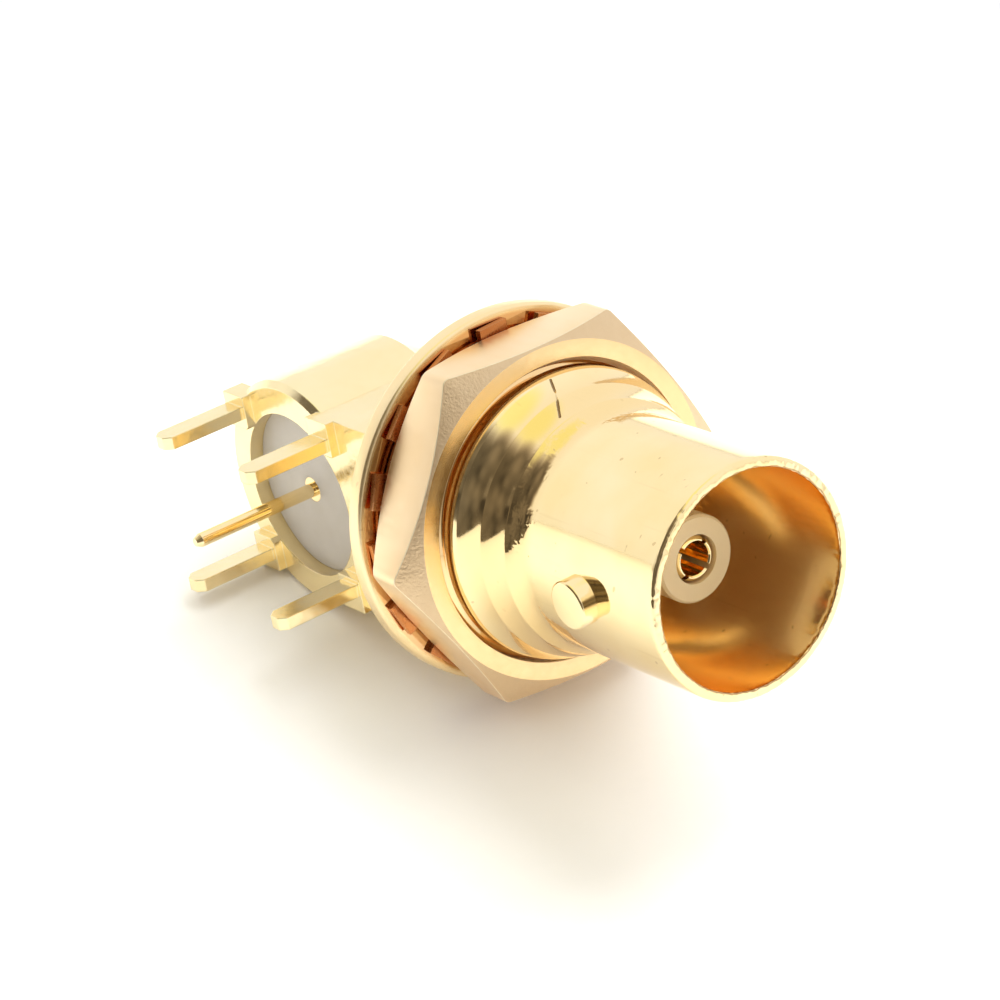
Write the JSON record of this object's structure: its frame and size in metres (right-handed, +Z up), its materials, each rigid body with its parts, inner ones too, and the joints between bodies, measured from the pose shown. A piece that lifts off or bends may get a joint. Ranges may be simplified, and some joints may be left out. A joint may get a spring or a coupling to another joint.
{
  "type": "right-angle bnc connector",
  "caption": "Right-angle board-mount coaxial jack with bayonet lugs, threaded barrel, panel nut, star washer and flat ground legs.",
  "frame": {"origin": "where the signal pin's axis meets the board's upper face", "axes": "+Z up from the board, mouth towards -Y, +X to the right when looking into the elbow from the mouth"},
  "size_m": [0.0158, 0.0281, 0.019],
  "materials": {
    "gold_cast": "polished gold plate",
    "gold_turned": "polished gold plate",
    "gold_satin": "satin gold plate",
    "gold_dark": "satin gold plate",
    "ptfe_cream": "waxy PTFE",
    "ptfe_white": "waxy PTFE"
  },
  "bodies": {
    "jack": {"elbow_body": "gold_cast", "front_shell": "gold_turned", "bayonet_lug_top": "gold_turned", "bayonet_lug_bottom": "gold_turned", "front_insulator": "ptfe_cream", "elbow_insulator": "ptfe_white", "centre_contact": "gold_turned", "signal_pin": "gold_turned"},
    "washer": {"lock_washer": "gold_dark"},
    "nut": {"hex_nut": "gold_satin"}
  },
  "joints": [
    {"name": "washer_slide", "type": "slide", "parent": "jack", "child": "washer", "axis": [0, -1, 0], "range_m": [0, 0.00199]},
    {"name": "nut_spin", "type": "hinge", "parent": "washer", "child": "nut", "pos_m": [0, -0.0101, 0.0058], "axis": [0, -1, 0], "range_deg": [0, 792]}
  ],
  "couplings": [
    {"joint": "nut_spin", "follows": "washer_slide", "rad_per_m": 6927.4}
  ]
}
